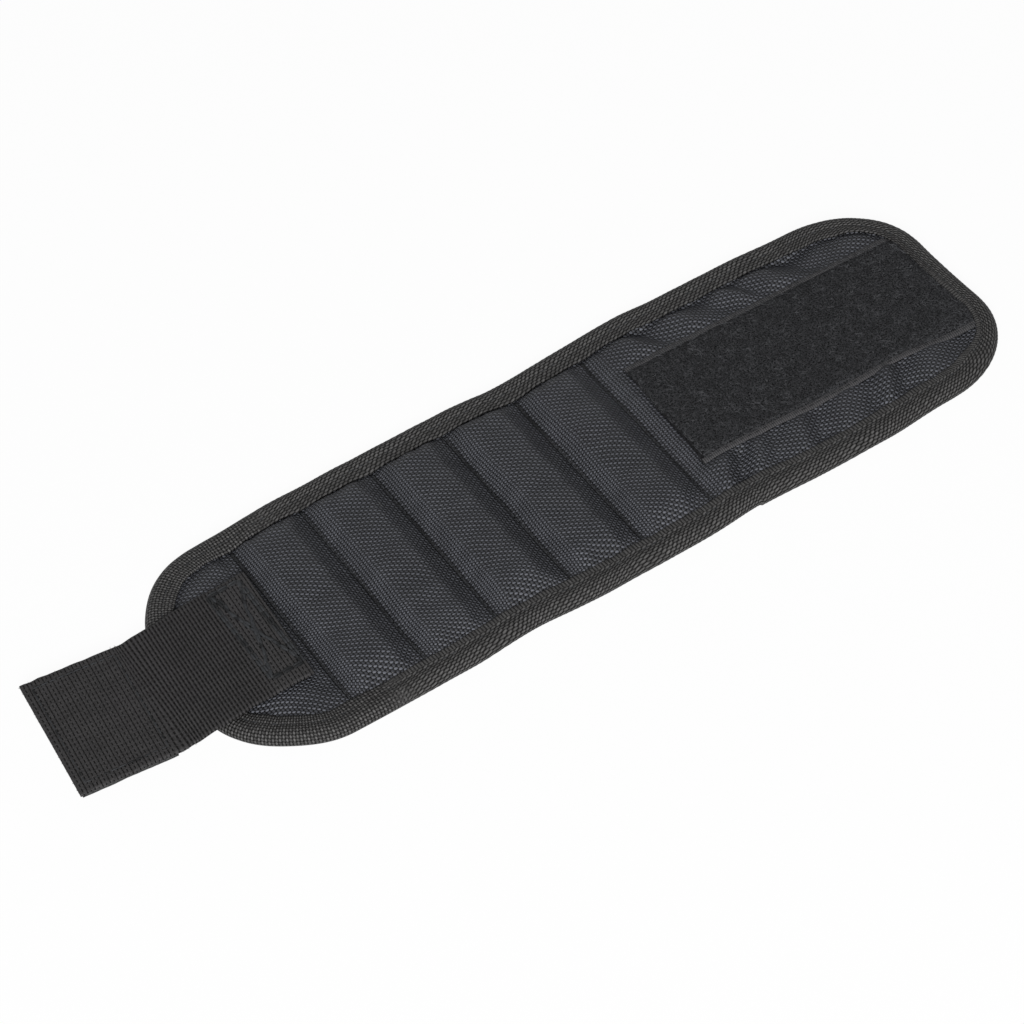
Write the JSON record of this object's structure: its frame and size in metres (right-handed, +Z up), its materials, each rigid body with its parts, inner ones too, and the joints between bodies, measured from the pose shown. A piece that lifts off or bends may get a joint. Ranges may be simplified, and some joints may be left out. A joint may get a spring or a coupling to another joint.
{
  "type": "magnetic wristband",
  "caption": "Padded wristband with a row of magnet pockets that hold screws and bits, a loop-tape patch at one end and a webbing strap with hook tape at the other.",
  "frame": {"origin": "middle of the base of the part as it lies open on the ground, strap out flat", "axes": "+X from the strap towards the loop-patch end, +Y across the band, +Z up from the lining to the outer face"},
  "size_m": [0.3228, 0.095, 0.0081],
  "materials": {
    "face_fabric": "coarse woven nylon, satin",
    "lining": "fine woven, matte",
    "foam": "open foam, matte",
    "magnet": "sintered, dull",
    "binding": "twill tape, satin",
    "loop": "brushed pile, matte",
    "webbing": "ribbed webbing, satin",
    "hook": "moulded hooks, satin",
    "thread": "polyester thread, satin"
  },
  "bodies": {
    "pocket_3": {"pocket_3_lining": "lining", "pocket_3_foam": "foam", "pocket_3_face": "face_fabric", "pocket_3_magnet": "magnet", "pocket_3_upper_binding": "binding", "pocket_3_lower_binding": "binding"},
    "pocket_2": {"pocket_2_lining": "lining", "pocket_2_foam": "foam", "pocket_2_face": "face_fabric", "pocket_2_magnet": "magnet", "pocket_2_upper_binding": "binding", "pocket_2_lower_binding": "binding"},
    "pocket_1": {"pocket_1_lining": "lining", "pocket_1_foam": "foam", "pocket_1_face": "face_fabric", "pocket_1_magnet": "magnet", "pocket_1_upper_binding": "binding", "pocket_1_lower_binding": "binding"},
    "left_end": {"left_end_lining": "lining", "left_end_foam": "foam", "left_end_face": "face_fabric", "left_end_binding": "binding", "strap_sewn_end": "webbing"},
    "strap_root": {"strap_root": "webbing"},
    "strap_tip": {"strap_tip": "webbing", "hook_tape": "hook"},
    "pocket_4": {"pocket_4_lining": "lining", "pocket_4_foam": "foam", "pocket_4_face": "face_fabric", "pocket_4_magnet": "magnet", "pocket_4_upper_binding": "binding", "pocket_4_lower_binding": "binding"},
    "pocket_5": {"pocket_5_lining": "lining", "pocket_5_foam": "foam", "pocket_5_face": "face_fabric", "pocket_5_magnet": "magnet", "pocket_5_upper_binding": "binding", "pocket_5_lower_binding": "binding"},
    "patch_1": {"patch_1_lining": "lining", "patch_1_foam": "foam", "patch_1_face": "face_fabric", "patch_1_loop_tape": "loop", "patch_1_upper_binding": "binding", "patch_1_lower_binding": "binding"},
    "patch_2": {"patch_2_lining": "lining", "patch_2_foam": "foam", "patch_2_face": "face_fabric", "patch_2_loop_tape": "loop", "patch_2_upper_binding": "binding", "patch_2_lower_binding": "binding"},
    "patch_3": {"patch_3_lining": "lining", "patch_3_foam": "foam", "patch_3_face": "face_fabric", "patch_3_loop_tape": "loop", "patch_3_binding": "binding"}
  },
  "joints": [
    {"name": "seam_c", "type": "hinge", "parent": "pocket_3", "child": "pocket_2", "pos_m": [-0.02956, 0, 0.0009], "axis": [0, -1, 0], "range_deg": [-8, 32.5]},
    {"name": "seam_b", "type": "hinge", "parent": "pocket_2", "child": "pocket_1", "pos_m": [-0.05506, 0, 0.0009], "axis": [0, -1, 0], "range_deg": [-8, 32.5]},
    {"name": "seam_a", "type": "hinge", "parent": "pocket_1", "child": "left_end", "pos_m": [-0.08056, 0, 0.0009], "axis": [0, -1, 0], "range_deg": [-8, 40]},
    {"name": "strap_fold", "type": "hinge", "parent": "left_end", "child": "strap_root", "pos_m": [-0.11856, 0, 0.0075], "axis": [0, -1, 0], "range_deg": [-120, 2]},
    {"name": "strap_flex", "type": "hinge", "parent": "strap_root", "child": "strap_tip", "pos_m": [-0.12797, 0, 0.00548], "axis": [0, -1, 0], "range_deg": [-40, 46]},
    {"name": "seam_d", "type": "hinge", "parent": "pocket_3", "child": "pocket_4", "pos_m": [-0.00406, 0, 0.0009], "axis": [0, 1, 0], "range_deg": [-8, 32.5]},
    {"name": "seam_e", "type": "hinge", "parent": "pocket_4", "child": "pocket_5", "pos_m": [0.02144, 0, 0.0009], "axis": [0, 1, 0], "range_deg": [-8, 32.5]},
    {"name": "seam_f", "type": "hinge", "parent": "pocket_5", "child": "patch_1", "pos_m": [0.04694, 0, 0.0009], "axis": [0, 1, 0], "range_deg": [-8, 40]},
    {"name": "patch_fold_1", "type": "hinge", "parent": "patch_1", "child": "patch_2", "pos_m": [0.08511, 0, 0.0009], "axis": [0, 1, 0], "range_deg": [-5, 48.5]},
    {"name": "patch_fold_2", "type": "hinge", "parent": "patch_2", "child": "patch_3", "pos_m": [0.12327, 0, 0.0009], "axis": [0, 1, 0], "range_deg": [-5, 48.5]}
  ]
}
